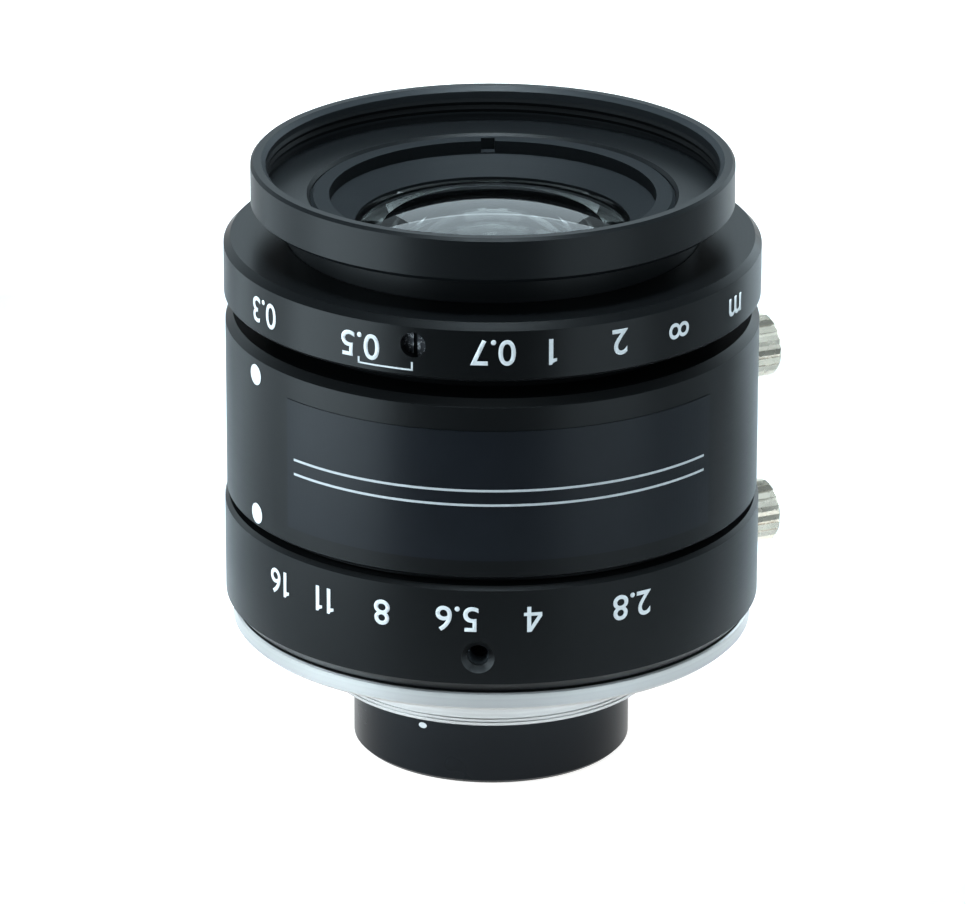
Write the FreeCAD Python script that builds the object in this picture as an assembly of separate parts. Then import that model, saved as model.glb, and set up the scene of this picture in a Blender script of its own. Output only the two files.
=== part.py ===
import FreeCAD, Part
import math
import os
from FreeCAD import Vector

# A C-mount lens for a machine vision camera, standing on its rear dust cap.
# Millimetres. The optical axis is +Z with the front of the lens up, and z = 0 is the face that it stands on.
# Angles go round the axis from the front of the scale, which faces -Y, towards +X.
# It is modelled as it stands: focused at the near stop, with the diaphragm stopped right down.

# Fits between pieces
running_gap = 0.05
seat_gap = 0.02
slide_gap = 0.1

# Swing of the iris ring in degrees, and the way that the optics move along the axis in focusing
iris_swing = 91.7
focus_travel = 0.95

# Radius that the rings and barrels are sized from
barrel_radius = 26.73

# Rear dust cap
cap_wall = 1.3
cap_height = 7.5
cap_floor = 1.5
cap_edge = 0.35
cap_grip_gap = 0.04

# Mount base: the C-mount thread is 1 inch across, and its length and seat are the standard's
mount_radius = 12.7
cap_radius = mount_radius + cap_wall
mount_length = 4.0
mount_relief_depth = 0.7
mount_relief_height = 0.8
mount_wall = 1.7
mount_bore = mount_radius - mount_wall
mount_chamfer = 0.4
seat_share = 0.53
seat_height = 5.6
seat_line_depth = 0.12
seat_line_width = 0.14
seat_line_pitch = 0.36
base_share = 0.514
base_inset = 0.5
base_radius = barrel_radius - base_inset
base_thickness = 1.85
base_chamfer = 0.3

# Screws that hold the mount base to the barrel
base_screw_count = 3
base_screw_radius = 0.8
base_screw_head_radius = 1.7
base_screw_head_height = 0.9
base_screw_length = 5.0
base_screw_slot = 0.45
base_floor_gap = 0.3

# Iris ring
iris_ring_proud = 0.21
iris_ring_radius = barrel_radius + iris_ring_proud
iris_ring_width = 11.42
iris_ring_chamfer_in = 1.0
iris_ring_chamfer_up = 1.15
iris_ring_top_chamfer = 0.4
iris_ring_lift = 0.13

# Main barrel
barrel_length = 18.62
barrel_top_chamfer = 0.75
barrel_bottom_chamfer = 0.25
groove_depth = 1.33
groove_height = 0.65
journal_depth = 3.73
journal_radius = barrel_radius - journal_depth
helicoid_step = 0.4
helicoid_radius = journal_radius - helicoid_step
guide_web = 2.1
guide_bore = helicoid_radius - guide_web
guide_length = 2.6
seat_radius = mount_radius + seat_share * (guide_bore - mount_radius)
base_bore = mount_bore + base_share * (seat_radius - mount_bore)

# Focus ring and the threaded sleeve that it turns
focus_ring_proud = 0.13
focus_ring_radius = barrel_radius + focus_ring_proud
focus_ring_width = 5.92
focus_ring_top_chamfer = 0.67
focus_ring_bottom_chamfer = 0.3
focus_ring_lip = 1.57
infinity_gap = 1.03
sleeve_extra = 2.08
sleeve_length = barrel_length + sleeve_extra
sleeve_chamfer = 0.4
retainer_height = 0.9
retainer_rim = 1.75

# Front barrel
rim_inset = 2.6
rim_radius = barrel_radius - rim_inset
rim_height = 4.62
rim_bottom_chamfer = 0.45
rim_top_chamfer = 0.3
tube_radius = guide_bore - slide_gap
neck_step = 0.26
neck_radius = tube_radius + neck_step
neck_height = 3.18
rim_wall = 1.53
filter_radius = rim_radius - rim_wall
filter_mouth_chamfer = 0.45
filter_depth = 3.57
filter_relief_depth = 0.4
filter_relief_radius = filter_radius + filter_relief_depth
filter_relief_height = 0.7
tube_wall = 1.5
iris_bore = tube_radius - tube_wall
middle_ledge = 1.9
middle_bore = iris_bore - middle_ledge

# Front retaining ring
filter_ledge = 4.4
front_ring_radius = filter_radius - filter_ledge
front_ring_drop = 0.13
front_ring_chamfer = 0.32
front_ring_wall = 1.9
front_ring_inner = front_ring_radius - front_ring_wall
front_ring_wall_depth = 1.34
front_ring_lip_margin = 0.56
front_ring_cone_depth = 1.6
front_ring_lip_depth = 0.28
notch_width = 1.4
notch_depth = 1.2
notch_reach = 1.0
notch_angle = 181.8

# Rear barrel, which carries the lenses behind the diaphragm
rear_flange_height = 1.9
rear_shoulder_step = 1.6
rear_shoulder_radius = mount_bore + rear_shoulder_step
nose_gap = 0.3
rear_nose_radius = mount_bore - nose_gap
rear_wall = 1.8
rear_ring_height = 1.6
rear_ring_wall = 1.3
rear_ring_wall_gap = 0.4
rear_notch_reach = 0.7
rear_lip_height = 1.2
rear_lip = 1.6
nose_drop = 2.78

# Glass: radius of the edge, thickness there, then the flat rim and the bulge of the two faces
front_glass_wall = 5.4
front_glass_step = 2.0
front_edge = tube_radius - front_glass_wall
inner_edge = front_edge - front_glass_step
rear_edge = rear_nose_radius - rear_wall
glass_1 = dict(edge=front_edge, thick=3.25, front_rim=1.82, front_bulge=1.95, back_rim=4.5, back_bulge=-3.93)
glass_2 = dict(edge=inner_edge, thick=3.0, front_rim=2.5, front_bulge=1.85, back_rim=4.5, back_bulge=-4.0)
glass_3 = dict(edge=inner_edge, thick=2.5, front_rim=2.0, front_bulge=1.3, back_rim=2.4, back_bulge=1.5)
glass_4 = dict(edge=rear_edge, thick=2.6, front_rim=1.7, front_bulge=1.1, back_rim=1.0, back_bulge=1.2)
glass_5 = dict(edge=rear_edge, thick=3.2, front_rim=1.0, front_bulge=-1.2, back_rim=1.3, back_bulge=-0.9)
glass_6 = dict(edge=rear_edge, thick=2.4, front_rim=1.1, front_bulge=0.5, back_rim=1.1, back_bulge=0.4)
glass_7 = dict(edge=rear_edge, thick=2.2, front_rim=1.1, front_bulge=0.5, back_rim=1.5, back_bulge=0.6)
front_spacer_height = 2.6
front_shoulder_height = 1.8
front_shoulder = 1.4
rear_spacer_height = 1.2
spacer_wall = 1.1

# Diaphragm: the blades hang on pivots round the stop, and the slots of the cam ring move them
blade_count = 6
open_radius = 5.2
stopped_radius = 0.8
blade_outer_radius = 12.0
pivot_inset = 1.2
pivot_circle = blade_outer_radius - pivot_inset
blade_span = 125.0
blade_thickness = 0.06
blade_rise = 1.15
blade_pin_radius = 0.35
blade_pin_length = 0.7
cam_pin_angle = 115.0
blade_room = 0.12
cage_drop = 2.0
cage_thickness = 1.2
cage_aperture = 5.6
cam_plate_thickness = 0.9
cam_plate_aperture = 6.4
cam_skirt_height = 1.8
cam_skirt_wall = 1.6
blade_offset = 20.0
slot_points = 9
ramp_margin = 30.0
cam_step = 0.001

# Pin that couples the cam ring to the iris ring, through a window in both barrels
drive_pin_radius = 0.8
drive_angle = 190.0
drive_pocket_depth = 1.2
window_spare = 1.0

# Guide pin that lets the optics slide but not turn
guide_pin_radius = 1.0
guide_pin_seat = 1.9
guide_pin_reach = 1.1
guide_pin_cover = 0.3
guide_angle = 180.0

# Lock screws with knurled heads, and the tapped hole that is left open
lock_screw_radius = 1.3
lock_angle = 115.0
lock_head_radius = 3.2
lock_head_length = 4.1
lock_head_gap = 0.35
lock_head_chamfer = 0.35
lock_ridges = 20
lock_ridge_depth = 0.28
focus_lock_height = 9.95
iris_lock_height = 3.97
open_hole_angle = -2.8
open_hole_radius = 1.08
open_hole_mouth = 1.68

# Set screws that clamp the focus ring to its sleeve
set_screw_count = 3
set_screw_radius = 1.25
set_screw_sink = 0.9
set_screw_angle = -16.6
set_screw_height = 3.4
set_screw_slot_width = 0.4
set_screw_slot_depth = 0.5

# Heights of the stack, worked out from the sizes above
seat_z = cap_height + slide_gap
base_bottom = seat_z + seat_height
base_top = base_bottom + base_thickness
iris_bottom = base_top + iris_ring_lift
iris_top = iris_bottom + iris_ring_width
shoulder_z = iris_top + slide_gap
barrel_bottom = shoulder_z + groove_height
barrel_top = barrel_bottom + barrel_length
guide_top = shoulder_z + guide_length
focus_bottom = barrel_top + infinity_gap + focus_travel
focus_top = focus_bottom + focus_ring_width
rim_bottom = focus_top + neck_height
rim_top = rim_bottom + rim_height
filter_floor = rim_top - filter_depth
neck_foot = focus_top - focus_ring_lip - running_gap

# Heights of the front lens group, from the retaining ring down
front_ring_top = filter_floor - front_ring_drop
front_ring_wall_foot = front_ring_top - front_ring_wall_depth
front_ring_cone_foot = front_ring_wall_foot - front_ring_cone_depth
front_ring_foot = front_ring_cone_foot - front_ring_lip_depth
glass_1_top = front_ring_foot - seat_gap
glass_2_top = glass_1_top - glass_1["thick"] - seat_gap
front_spacer_top = glass_2_top - glass_2["thick"] - seat_gap
glass_3_top = front_spacer_top - front_spacer_height - seat_gap
front_shoulder_top = glass_3_top - glass_3["thick"] - seat_gap

# Heights of the diaphragm, from the plate with the pivots down to the rear barrel
cage_top = guide_top - cage_drop
cage_bottom = cage_top - cage_thickness
blade_middle = 0.5 * (blade_outer_radius + open_radius)
blade_half_width = 0.5 * (blade_outer_radius - open_radius)
blade_end_rise = blade_rise * math.degrees(math.asin(blade_half_width / blade_middle)) / blade_span
blade_top = cage_bottom - blade_room - blade_end_rise
blade_bottom = blade_top - blade_rise - blade_end_rise - blade_thickness
cam_top = blade_bottom - blade_room
cam_bottom = cam_top - cam_plate_thickness - cam_skirt_height
rear_flange_top = cam_bottom - slide_gap
tube_foot = rear_flange_top - rear_flange_height
drive_z = cam_top - cam_plate_thickness - 0.5 * cam_skirt_height

# Heights of the rear lens group
glass_4_top = rear_flange_top - rear_lip_height
glass_5_top = glass_4_top - glass_4["thick"]
rear_spacer_top = glass_5_top - glass_5["thick"] - seat_gap
glass_6_top = rear_spacer_top - rear_spacer_height - seat_gap
lower_spacer_top = glass_6_top - glass_6["thick"] - seat_gap
glass_7_top = lower_spacer_top - rear_spacer_height - seat_gap
rear_ring_top = glass_7_top - glass_7["thick"] - seat_gap
nose_foot = rear_ring_top - rear_ring_height - rear_ring_wall_gap
nose_top = base_bottom - nose_drop

# Swing of a blade from open to stopped down, from the circle that its inner edge lies on
blade_swing = 2.0 * math.degrees(math.asin((open_radius - stopped_radius) / (2.0 * pivot_circle)))

AXIS = Vector(0, 0, 1)
CENTRE = Vector(0, 0, 0)

# Way that a cutting shape reaches past the face that it cuts
overrun = 1.0


def save(name, shape):
    """Write one sub-part to its own file."""
    solids = shape.Solids
    whole = solids[0] if len(solids) == 1 else Part.makeCompound(solids)
    whole.exportStep(os.path.join("parts", name + ".step"))


def turned(points):
    """A solid of revolution from an outline of (radius, height) points."""
    corners = [Vector(radius, 0, height) for radius, height in points]
    return Part.Face(Part.makePolygon(corners + corners[:1])).revolve(CENTRE, AXIS, 360)


def tube(outer, inner, bottom, top):
    """A plain ring."""
    return turned([(inner, bottom), (outer, bottom), (outer, top), (inner, top)])


def around(angle):
    """Unit vector at an angle round the axis, from -Y towards +X."""
    turn = math.radians(angle - 90.0)
    return Vector(math.cos(turn), math.sin(turn), 0)


def radial_pin(radius, inner, outer, angle, height):
    """A round bar or hole that points straight out from the axis."""
    direction = around(angle)
    return Part.makeCylinder(radius, outer - inner, direction * inner + Vector(0, 0, height), direction)


def radial_cone(inner_radius, outer_radius, inner, outer, angle, height):
    """A countersink that widens outwards from the axis."""
    direction = around(angle)
    start = direction * inner + Vector(0, 0, height)
    return Part.makeCone(inner_radius, outer_radius, outer - inner, start, direction)


def radial_block(width, tall, inner, outer, angle, height):
    """A rectangular bar that points straight out from the axis."""
    block = Part.makeBox(outer - inner, width, tall, Vector(inner, -0.5 * width, height - 0.5 * tall))
    block.rotate(CENTRE, AXIS, angle - 90.0)
    return block


def ring_window(inner, outer, bottom, top, first, last):
    """Part of a ring between two angles round the axis."""
    face = Part.makePolygon([Vector(inner, 0, bottom), Vector(outer, 0, bottom), Vector(outer, 0, top),
                             Vector(inner, 0, top), Vector(inner, 0, bottom)])
    window = Part.Face(face).revolve(CENTRE, AXIS, last - first)
    window.rotate(CENTRE, AXIS, first - 90.0)
    return window


def spaced(shape, count):
    """Copies of a shape, evenly spaced round the axis."""
    copies = []
    for index in range(count):
        turned_copy = shape.copy()
        turned_copy.rotate(CENTRE, AXIS, 360.0 * index / count)
        copies.append(turned_copy)
    return copies


def rear_cap():
    """Push-on dust cap: a smooth plastic cup that grips the crests of the mount thread."""
    bore = mount_radius + cap_grip_gap
    return turned([(0, 0), (cap_radius - cap_edge, 0), (cap_radius, cap_edge),
                   (cap_radius, cap_height), (bore + cap_edge, cap_height), (bore, cap_height - cap_edge),
                   (bore, cap_floor), (0, cap_floor)])


def seat_line(height):
    """A fine turned line round the flange."""
    return tube(seat_radius + overrun, seat_radius - seat_line_depth, height, height + seat_line_width)


def mount_base():
    """Bright aluminium base: the mount thread, the flange that seats on a camera and the disc."""
    foot = seat_z - mount_length
    relief = seat_z - mount_relief_height
    relief_radius = mount_radius - mount_relief_depth
    body = turned([(mount_bore, foot), (mount_radius - mount_chamfer, foot),
                   (mount_radius, foot + mount_chamfer), (mount_radius, relief), (relief_radius, relief),
                   (relief_radius, seat_z), (seat_radius, seat_z), (seat_radius, base_bottom),
                   (base_radius - base_chamfer, base_bottom),
                   (base_radius, base_bottom + base_chamfer), (base_radius, base_top - 0.5 * base_chamfer),
                   (base_radius - 0.5 * base_chamfer, base_top), (base_bore, base_top),
                   (base_bore, base_floor()), (mount_bore, base_floor())])
    for index in (1, 2):
        body = body.cut(seat_line(seat_z + index * seat_line_pitch - 0.5 * seat_line_width))
    for hole in spaced(base_screw(seat_gap, False), base_screw_count):
        body = body.cut(hole)
    return body


def base_floor():
    """Inside floor over the flange seat, just clear of the rear barrel's shoulder at infinity."""
    return nose_top - focus_travel - base_floor_gap


def base_screw(growth, slotted):
    """Countersunk screw under the base, made larger by a growth for its hole."""
    middle = 0.5 * (journal_radius + guide_bore)
    place = around(0) * middle + Vector(0, 0, base_bottom)
    shank = Part.makeCylinder(base_screw_radius + growth, base_screw_length + growth, place, AXIS)
    head = Part.makeCone(base_screw_head_radius + growth, base_screw_radius + growth,
                         base_screw_head_height, place, AXIS)
    screw = shank.fuse(head)
    if slotted:
        reach = base_screw_head_radius + overrun
        slot = Part.makeBox(2.0 * reach, base_screw_slot, base_screw_slot)
        slot.translate(place - Vector(reach, 0.5 * base_screw_slot, 0))
        screw = screw.cut(slot)
    return screw.removeSplitter()


def base_screws():
    """The screws of the mount base, as one group."""
    return Part.makeCompound(spaced(base_screw(0, True), base_screw_count))


def main_barrel():
    """Black barrel that stands still: journal for the iris ring, guide bore and focus thread."""
    wall = barrel_radius - barrel_top_chamfer
    groove_radius = barrel_radius - groove_depth
    body = turned([(guide_bore, base_top), (journal_radius, base_top), (journal_radius, shoulder_z),
                   (groove_radius, shoulder_z), (groove_radius, barrel_bottom),
                   (barrel_radius - barrel_bottom_chamfer, barrel_bottom),
                   (barrel_radius, barrel_bottom + barrel_bottom_chamfer),
                   (barrel_radius, barrel_top - barrel_top_chamfer), (wall, barrel_top),
                   (helicoid_radius + running_gap, barrel_top), (helicoid_radius + running_gap, guide_top),
                   (guide_bore, guide_top)])
    body = body.cut(drive_window(guide_bore - overrun, journal_radius + overrun, focus_travel))
    body = body.cut(radial_pin(guide_pin_radius + seat_gap, guide_bore - overrun, guide_bore + guide_pin_seat,
                               guide_angle, guide_pin_z()))
    body = body.cut(radial_pin(lock_screw_radius + running_gap, helicoid_radius - overrun,
                               barrel_radius + overrun, lock_angle, focus_lock_z()))
    for hole in spaced(base_screw(seat_gap, False), base_screw_count):
        body = body.cut(hole)
    return body


def guide_pin_z():
    """Height of the guide pin, in the middle of the guide bore's top web."""
    return guide_top - guide_pin_radius - guide_pin_cover


def focus_lock_z():
    """Height of the focus lock screw on the main barrel."""
    return barrel_bottom + focus_lock_height


def iris_lock_z():
    """Height of the iris lock screw and of the open tapped hole on the iris ring."""
    return iris_bottom + iris_lock_height


def drive_window(inner, outer, travel):
    """Room for the drive pin in a barrel wall, over the swing of the iris and some travel of the focus."""
    half = drive_pin_radius + slide_gap
    spare = math.degrees(half / inner) + window_spare
    return ring_window(inner, outer, drive_z - travel - half, drive_z + half,
                       drive_angle - iris_swing - spare, drive_angle + spare)


def guide_pin():
    """Steel dowel in the main barrel that runs in the slot of the front barrel."""
    return radial_pin(guide_pin_radius, guide_bore - guide_pin_reach, guide_bore + guide_pin_seat,
                      guide_angle, guide_pin_z())


def iris_ring():
    """Ring with the aperture scale, turning on the journal of the main barrel."""
    bore = journal_radius + running_gap
    top_edge = iris_ring_radius - iris_ring_top_chamfer
    body = turned([(bore, iris_bottom), (iris_ring_radius - iris_ring_chamfer_in, iris_bottom),
                   (iris_ring_radius, iris_bottom + iris_ring_chamfer_up),
                   (iris_ring_radius, iris_top - iris_ring_top_chamfer), (top_edge, iris_top),
                   (bore, iris_top)])
    half = drive_pin_radius + running_gap
    pocket_top = drive_z + half
    pocket_bottom = drive_z - focus_travel - half
    body = body.cut(radial_block(2.0 * half, pocket_top - pocket_bottom, bore - overrun,
                                 bore + drive_pocket_depth, drive_angle, 0.5 * (pocket_top + pocket_bottom)))
    body = body.cut(radial_pin(lock_screw_radius + running_gap, bore - overrun, iris_ring_radius + overrun,
                               lock_angle, iris_lock_z()))
    body = body.cut(radial_pin(open_hole_radius, bore - overrun, iris_ring_radius + overrun,
                               open_hole_angle, iris_lock_z()))
    mouth = open_hole_mouth - open_hole_radius
    return body.cut(radial_cone(open_hole_radius, open_hole_mouth + mouth, iris_ring_radius - mouth,
                                iris_ring_radius + mouth, open_hole_angle, iris_lock_z()))


def lock_screw(tip, surface, height):
    """Nickelled screw with a coarse straight knurl on its head; its tip bears on the piece inside."""
    head_start = surface + lock_head_gap
    head_end = head_start + lock_head_length
    points = []
    for index in range(2 * lock_ridges):
        turn = math.pi * index / lock_ridges
        radius = lock_head_radius - lock_ridge_depth * (index % 2)
        points.append(Vector(radius * math.cos(turn), radius * math.sin(turn), head_start))
    head = Part.Face(Part.makePolygon(points + points[:1])).extrude(Vector(0, 0, lock_head_length))
    edge = lock_head_radius - lock_head_chamfer
    head = head.common(turned([(0, head_start), (edge, head_start),
                               (lock_head_radius, head_start + lock_head_chamfer),
                               (lock_head_radius, head_end - lock_head_chamfer), (edge, head_end),
                               (0, head_end)]))
    shank = Part.makeCylinder(lock_screw_radius, head_start - tip, Vector(0, 0, tip), AXIS)
    screw = head.fuse(shank).removeSplitter()
    screw.rotate(CENTRE, Vector(0, 1, 0), 90.0)
    screw.rotate(CENTRE, AXIS, lock_angle - 90.0)
    screw.translate(Vector(0, 0, height))
    return screw


def focus_lock_screw():
    """Lock screw in the main barrel, against the focus sleeve."""
    return lock_screw(helicoid_radius + running_gap, barrel_radius, focus_lock_z())


def iris_lock_screw():
    """Lock screw in the iris ring, against the journal of the main barrel."""
    return lock_screw(journal_radius + running_gap, iris_ring_radius, iris_lock_z())


def sleeve_inner():
    """Bore of the focus sleeve, running on the tube of the front barrel."""
    return tube_radius + running_gap


def sleeve_top():
    """Top of the focus sleeve, under the lip of the focus ring."""
    return focus_top - focus_ring_lip - slide_gap


def set_screw_z():
    """Height of the set screws in the focus ring."""
    return focus_bottom + set_screw_height


def focus_ring():
    """Ring with the distance scale, clamped to the focus sleeve by its set screws."""
    bore = helicoid_radius + seat_gap
    lip_z = focus_top - focus_ring_lip
    low_edge = focus_ring_radius - focus_ring_bottom_chamfer
    top_edge = focus_ring_radius - focus_ring_top_chamfer
    body = turned([(bore, focus_bottom), (low_edge, focus_bottom),
                   (focus_ring_radius, focus_bottom + focus_ring_bottom_chamfer),
                   (focus_ring_radius, focus_top - focus_ring_top_chamfer), (top_edge, focus_top),
                   (neck_radius + slide_gap, focus_top), (neck_radius + slide_gap, lip_z), (bore, lip_z)])
    hole = radial_pin(set_screw_radius + seat_gap, bore - overrun, focus_ring_radius + overrun,
                      set_screw_angle, set_screw_z())
    for copy in spaced(hole, set_screw_count):
        body = body.cut(copy)
    return body


def set_screws():
    """Slotted grub screws, sunk below the face of the focus ring."""
    end = focus_ring_radius - set_screw_sink
    screw = radial_pin(set_screw_radius, helicoid_radius + seat_gap, end, set_screw_angle, set_screw_z())
    slot = radial_block(set_screw_slot_width, 2.0 * (set_screw_radius + overrun),
                        end - set_screw_slot_depth, end + overrun, set_screw_angle, set_screw_z())
    return Part.makeCompound(spaced(screw.cut(slot), set_screw_count))


def focus_helicoid():
    """Sleeve with the focus thread outside; it turns in the barrel and carries the optics along."""
    top = sleeve_top()
    bottom = top - sleeve_length
    return turned([(sleeve_inner(), bottom), (helicoid_radius - sleeve_chamfer, bottom),
                   (helicoid_radius, bottom + sleeve_chamfer), (helicoid_radius, top), (sleeve_inner(), top)])


def helicoid_retainer():
    """Threaded ring that keeps the focus sleeve on the tube of the front barrel."""
    top = sleeve_top() - sleeve_length - running_gap
    outer = tube_radius + retainer_rim
    body = tube(outer, tube_radius + seat_gap, top - retainer_height, top)
    notch = radial_block(notch_width, 2.0 * retainer_height, outer - notch_reach, outer + overrun, 90.0, top)
    for copy in spaced(notch, 2):
        body = body.cut(copy)
    return body


def front_barrel():
    """Front barrel: rim with the filter thread, neck, and the tube that holds lenses and diaphragm."""
    mouth = filter_radius + filter_mouth_chamfer
    bore = front_ring_radius + seat_gap
    shoulder_bore = inner_edge - front_shoulder
    body = turned([(tube_radius, tube_foot), (tube_radius, neck_foot), (neck_radius, neck_foot),
                   (neck_radius, rim_bottom), (rim_radius - rim_bottom_chamfer, rim_bottom),
                   (rim_radius, rim_bottom + rim_bottom_chamfer), (rim_radius, rim_top - rim_top_chamfer),
                   (rim_radius - rim_top_chamfer, rim_top), (mouth, rim_top),
                   (filter_radius, rim_top - filter_mouth_chamfer),
                   (filter_radius, filter_floor + filter_relief_height),
                   (filter_relief_radius, filter_floor + filter_relief_height),
                   (filter_relief_radius, filter_floor),
                   (bore + front_ring_chamfer, filter_floor), (bore, filter_floor - front_ring_chamfer),
                   (bore, glass_1_top - seat_gap), (front_edge + seat_gap, glass_1_top - seat_gap),
                   (front_edge + seat_gap, glass_2_top), (inner_edge + seat_gap, glass_2_top),
                   (inner_edge + seat_gap, front_shoulder_top), (shoulder_bore, front_shoulder_top),
                   (shoulder_bore, front_shoulder_top - front_shoulder_height),
                   (middle_bore, front_shoulder_top - front_shoulder_height), (middle_bore, cage_top),
                   (iris_bore, cage_top), (iris_bore, tube_foot)])
    body = body.cut(drive_window(iris_bore - overrun, tube_radius + overrun, 0.0))
    slot_half = guide_pin_radius + running_gap
    slot_top = guide_pin_z() + slot_half + focus_travel
    slot_bottom = guide_pin_z() - slot_half
    slot = radial_block(2.0 * slot_half, slot_top - slot_bottom, guide_bore - guide_pin_reach - slide_gap,
                        tube_radius + overrun, guide_angle, 0.5 * (slot_top + slot_bottom))
    return body.cut(slot)


def front_retaining_ring():
    """Threaded ring over the front lens, with a stepped, coned throat and two notches for a spanner."""
    lip_radius = front_edge - glass_1["front_rim"] + front_ring_lip_margin
    body = turned([(front_ring_radius, front_ring_foot),
                   (front_ring_radius, front_ring_top - front_ring_chamfer),
                   (front_ring_radius - front_ring_chamfer, front_ring_top),
                   (front_ring_inner, front_ring_top), (front_ring_inner, front_ring_wall_foot),
                   (lip_radius, front_ring_cone_foot),
                   (lip_radius, front_ring_foot)])
    notch = radial_block(notch_width, 2.0 * notch_depth, front_ring_inner - overrun,
                         front_ring_inner + notch_reach, notch_angle, front_ring_top)
    for copy in spaced(notch, 2):
        body = body.cut(copy)
    return body


def face_curve(aperture, bulge, height, from_axis):
    """One polished face of a lens as an arc of its outline, between the axis and its aperture."""
    radius = (aperture ** 2 + bulge ** 2) / (2.0 * abs(bulge))
    half = 0.5 * aperture
    sag = math.copysign(radius - math.sqrt(radius ** 2 - half ** 2), bulge)
    points = [Vector(0, 0, height + bulge), Vector(half, 0, height + bulge - sag),
              Vector(aperture, 0, height)]
    if not from_axis:
        points.reverse()
    return Part.Arc(points[0], points[1], points[2]).toShape()


def glass(lens, top):
    """One lens, with its faces bulging forwards (positive) or hollowed (negative)."""
    bottom = top - lens["thick"]
    edge = lens["edge"]
    front_aperture = edge - lens["front_rim"]
    back_aperture = edge - lens["back_rim"]
    rim = [Vector(front_aperture, 0, top), Vector(edge, 0, top), Vector(edge, 0, bottom),
           Vector(back_aperture, 0, bottom)]
    edges = [face_curve(front_aperture, lens["front_bulge"], top, True)]
    for start, end in zip(rim, rim[1:]):
        edges.append(Part.makeLine(start, end))
    edges.append(face_curve(back_aperture, -lens["back_bulge"], bottom, False))
    edges.append(Part.makeLine(Vector(0, 0, bottom - lens["back_bulge"]),
                               Vector(0, 0, top + lens["front_bulge"])))
    return Part.Face(Part.Wire(edges)).revolve(CENTRE, AXIS, 360)


def rear_barrel():
    """Rear barrel: screws into the front barrel behind the diaphragm and holds the rear lenses."""
    bore = rear_edge + seat_gap
    lip_radius = rear_edge - rear_lip
    return turned([(lip_radius, rear_flange_top), (iris_bore - seat_gap, rear_flange_top),
                   (iris_bore - seat_gap, tube_foot), (rear_shoulder_radius, tube_foot),
                   (rear_shoulder_radius, nose_top), (rear_nose_radius, nose_top),
                   (rear_nose_radius, nose_foot),
                   (bore, nose_foot), (bore, glass_4_top + seat_gap), (lip_radius, glass_4_top + seat_gap)])


def rear_retaining_ring():
    """Threaded ring behind the last lens, with two notches for a spanner."""
    bottom = rear_ring_top - rear_ring_height
    inner = rear_edge - rear_ring_wall
    body = tube(rear_edge, inner, bottom, rear_ring_top)
    notch = radial_block(notch_width, notch_depth, inner - overrun, inner + rear_notch_reach, 90.0, bottom)
    for copy in spaced(notch, 2):
        body = body.cut(copy)
    return body


def iris_cage():
    """Plate in front of the blades, with their pivot holes and a rim that holds it off the cam ring."""
    rim_inner = iris_bore - cam_skirt_wall
    rim_outer = iris_bore - seat_gap
    top = cage_top - seat_gap
    body = turned([(cage_aperture, cage_bottom), (rim_inner, cage_bottom), (rim_inner, cam_top + running_gap),
                   (rim_outer, cam_top + running_gap), (rim_outer, top), (cage_aperture, top)])
    hole = Part.makeCylinder(blade_pin_radius + running_gap, 2.0 * cage_thickness,
                             Vector(pivot_circle, 0, cage_bottom - running_gap), AXIS)
    hole.rotate(CENTRE, AXIS, blade_offset)
    for copy in spaced(hole, blade_count):
        body = body.cut(copy)
    return body


def ramp():
    """A thin helical sheet that sinks along the blade, so that each blade passes over the next one."""
    turn = blade_span + 2.0 * ramp_margin
    rise = blade_rise * turn / blade_span
    pitch = rise * 360.0 / turn
    inner = Part.makeHelix(pitch, rise, open_radius - overrun).Edges[0]
    outer = Part.makeHelix(pitch, rise, blade_outer_radius + overrun).Edges[0]
    sheet = Part.makeRuledSurface(inner, outer).extrude(Vector(0, 0, blade_thickness))
    sheet = sheet.mirror(CENTRE, AXIS)
    sheet.rotate(CENTRE, AXIS, -ramp_margin)
    sheet.translate(Vector(0, 0, blade_rise * ramp_margin / blade_span))
    return sheet


def iris_blade():
    """One blade in its open place round the axis: a curved strip with a pivot pin and a cam pin."""
    deep = 4.0 * blade_rise
    strip = tube(blade_outer_radius, open_radius, -deep, deep).common(
        ring_window(open_radius - overrun, blade_outer_radius + overrun, -deep, deep,
                    90.0, 90.0 + blade_span))
    for angle in (0.0, math.radians(blade_span)):
        place = Vector(blade_middle * math.cos(angle), blade_middle * math.sin(angle), -deep)
        strip = strip.fuse(Part.makeCylinder(blade_half_width, 2.0 * deep, place, AXIS))
    blade = strip.common(ramp())
    blade.translate(Vector(0, 0, blade_top))
    pivot_foot = blade_top - 0.5 * blade_thickness
    pivot = Part.makeCylinder(blade_pin_radius, cage_bottom + blade_pin_length - pivot_foot,
                              Vector(pivot_circle, 0, pivot_foot), AXIS)
    turn = math.radians(cam_pin_angle)
    cam_pin_foot = cam_top - blade_pin_length
    cam_pin_top = pivot_foot - blade_rise * cam_pin_angle / blade_span
    place = Vector(pivot_circle * math.cos(turn), pivot_circle * math.sin(turn), cam_pin_foot)
    cam_pin = Part.makeCylinder(blade_pin_radius, cam_pin_top - cam_pin_foot, place, AXIS)
    return blade.fuse([pivot, cam_pin])


def iris_blades():
    """All the blades, stopped down: each is swung inwards about its own pivot."""
    blade = iris_blade()
    blade.rotate(Vector(pivot_circle, 0, 0), AXIS, blade_swing)
    blade.rotate(CENTRE, AXIS, blade_offset)
    return spaced(blade, blade_count)


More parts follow.
